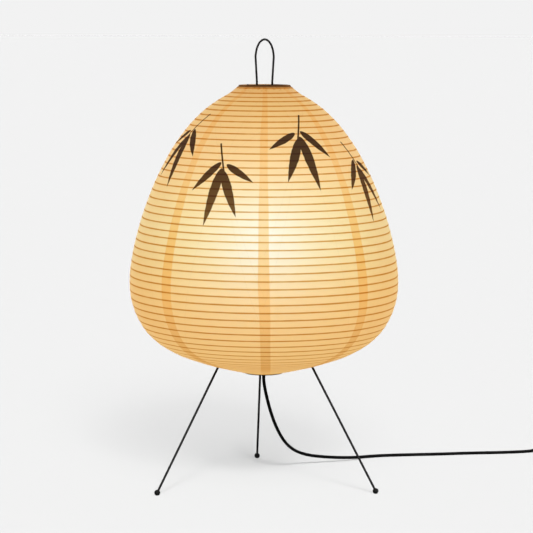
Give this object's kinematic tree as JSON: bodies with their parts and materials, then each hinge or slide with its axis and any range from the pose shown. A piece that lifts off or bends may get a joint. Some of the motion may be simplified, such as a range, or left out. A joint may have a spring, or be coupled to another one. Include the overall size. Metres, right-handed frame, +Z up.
{
  "type": "bedside lamp",
  "caption": "Bedside lamp: ribbed egg-shaped paper lantern around a screw-in bulb, a wire loop on top, a slim wire tripod with ball feet, and a cord with a rocker switch and flat-blade plug.",
  "frame": {"origin": "on the floor under the upright axis of the shade, between the three ball feet", "axes": "+Z up along the axis of the shade and bulb, +Y from the front of the lamp towards its rear leg, +X to the right seen from the front"},
  "size_m": [0.5685, 0.3274, 0.4325],
  "materials": {
    "paper": "matte handmade mulberry paper, lit from inside",
    "bamboo": "split bamboo, unfinished",
    "black_steel": "satin black",
    "foot_rubber": "smooth",
    "cord_black": "smooth satin",
    "soft_black": "smooth",
    "holder_plastic": "matte",
    "carrier_ceramic": "unglazed",
    "brass": "bright",
    "lead_sleeve": "smooth",
    "opal_glass": "opal, lit",
    "cap_metal": "bright",
    "insulator_black": "gloss",
    "tip_metal": "tinned",
    "case_plastic": "fine texture",
    "rocker_plastic": "smooth",
    "bright_steel": "zinc plated",
    "tie_plastic": "smooth"
  },
  "bodies": {
    "lamp": {"bottom_plate": "black_steel", "bottom_ring": "black_steel", "centre_contact": "brass", "clamp_ring": "holder_plastic", "contact_carrier": "carrier_ceramic", "cord": "cord_black", "cord_bush": "soft_black", "cord_coil": "cord_black", "cord_grip": "holder_plastic", "cord_inside": "cord_black", "cord_tie": "tie_plastic", "foot_front_left": "foot_rubber", "foot_front_right": "foot_rubber", "foot_rear": "foot_rubber", "lampholder_body": "holder_plastic", "lampholder_cap": "holder_plastic", "lead_left": "lead_sleeve", "lead_right": "lead_sleeve", "leg_front_left": "black_steel", "leg_front_right": "black_steel", "leg_hub": "black_steel", "leg_rear": "black_steel", "paper_panel_1": "paper", "paper_panel_2": "paper", "paper_panel_3": "paper", "paper_panel_4": "paper", "paper_panel_5": "paper", "paper_panel_6": "paper", "paper_panel_7": "paper", "paper_panel_8": "paper", "plug_blade_a": "brass", "plug_blade_b": "brass", "plug_body": "case_plastic", "plug_relief": "soft_black", "ribs_lower": "bamboo", "ribs_middle": "bamboo", "ribs_upper": "bamboo", "screw_shell": "brass", "stretcher": "black_steel", "switch_base": "case_plastic", "switch_contact_in": "brass", "switch_contact_out": "brass", "switch_cover": "case_plastic", "switch_pin": "bright_steel", "switch_relief_in": "soft_black", "switch_relief_out": "soft_black", "switch_screw_a": "bright_steel", "switch_screw_b": "bright_steel", "terminal_left": "brass", "terminal_right": "brass", "top_bar": "black_steel", "top_ring": "black_steel"},
    "bulb_lift": {"bulb_tip": "tip_metal"},
    "bulb": {"bulb_glass": "opal_glass", "bulb_cap": "cap_metal", "bulb_insulator": "insulator_black"},
    "rocker": {"switch_rocker": "rocker_plastic"}
  },
  "joints": [
    {"name": "bulb_rise", "type": "slide", "parent": "lamp", "child": "bulb_lift", "axis": [0, 0, 1], "range_m": [0, 0.017]},
    {"name": "bulb_turn", "type": "hinge", "parent": "bulb_lift", "child": "bulb", "pos_m": [0, 0, 0.2], "axis": [0, 0, 1], "range_deg": [0, 2160]},
    {"name": "switch_rock", "type": "hinge", "parent": "lamp", "child": "rocker", "pos_m": [0.348, 0.1395, 0.0082], "axis": [0, -1, 0], "range_deg": [0, 24]}
  ],
  "couplings": [
    {"joint": "bulb_rise", "follows": "bulb_turn", "m_per_rad": 0.00044914}
  ]
}
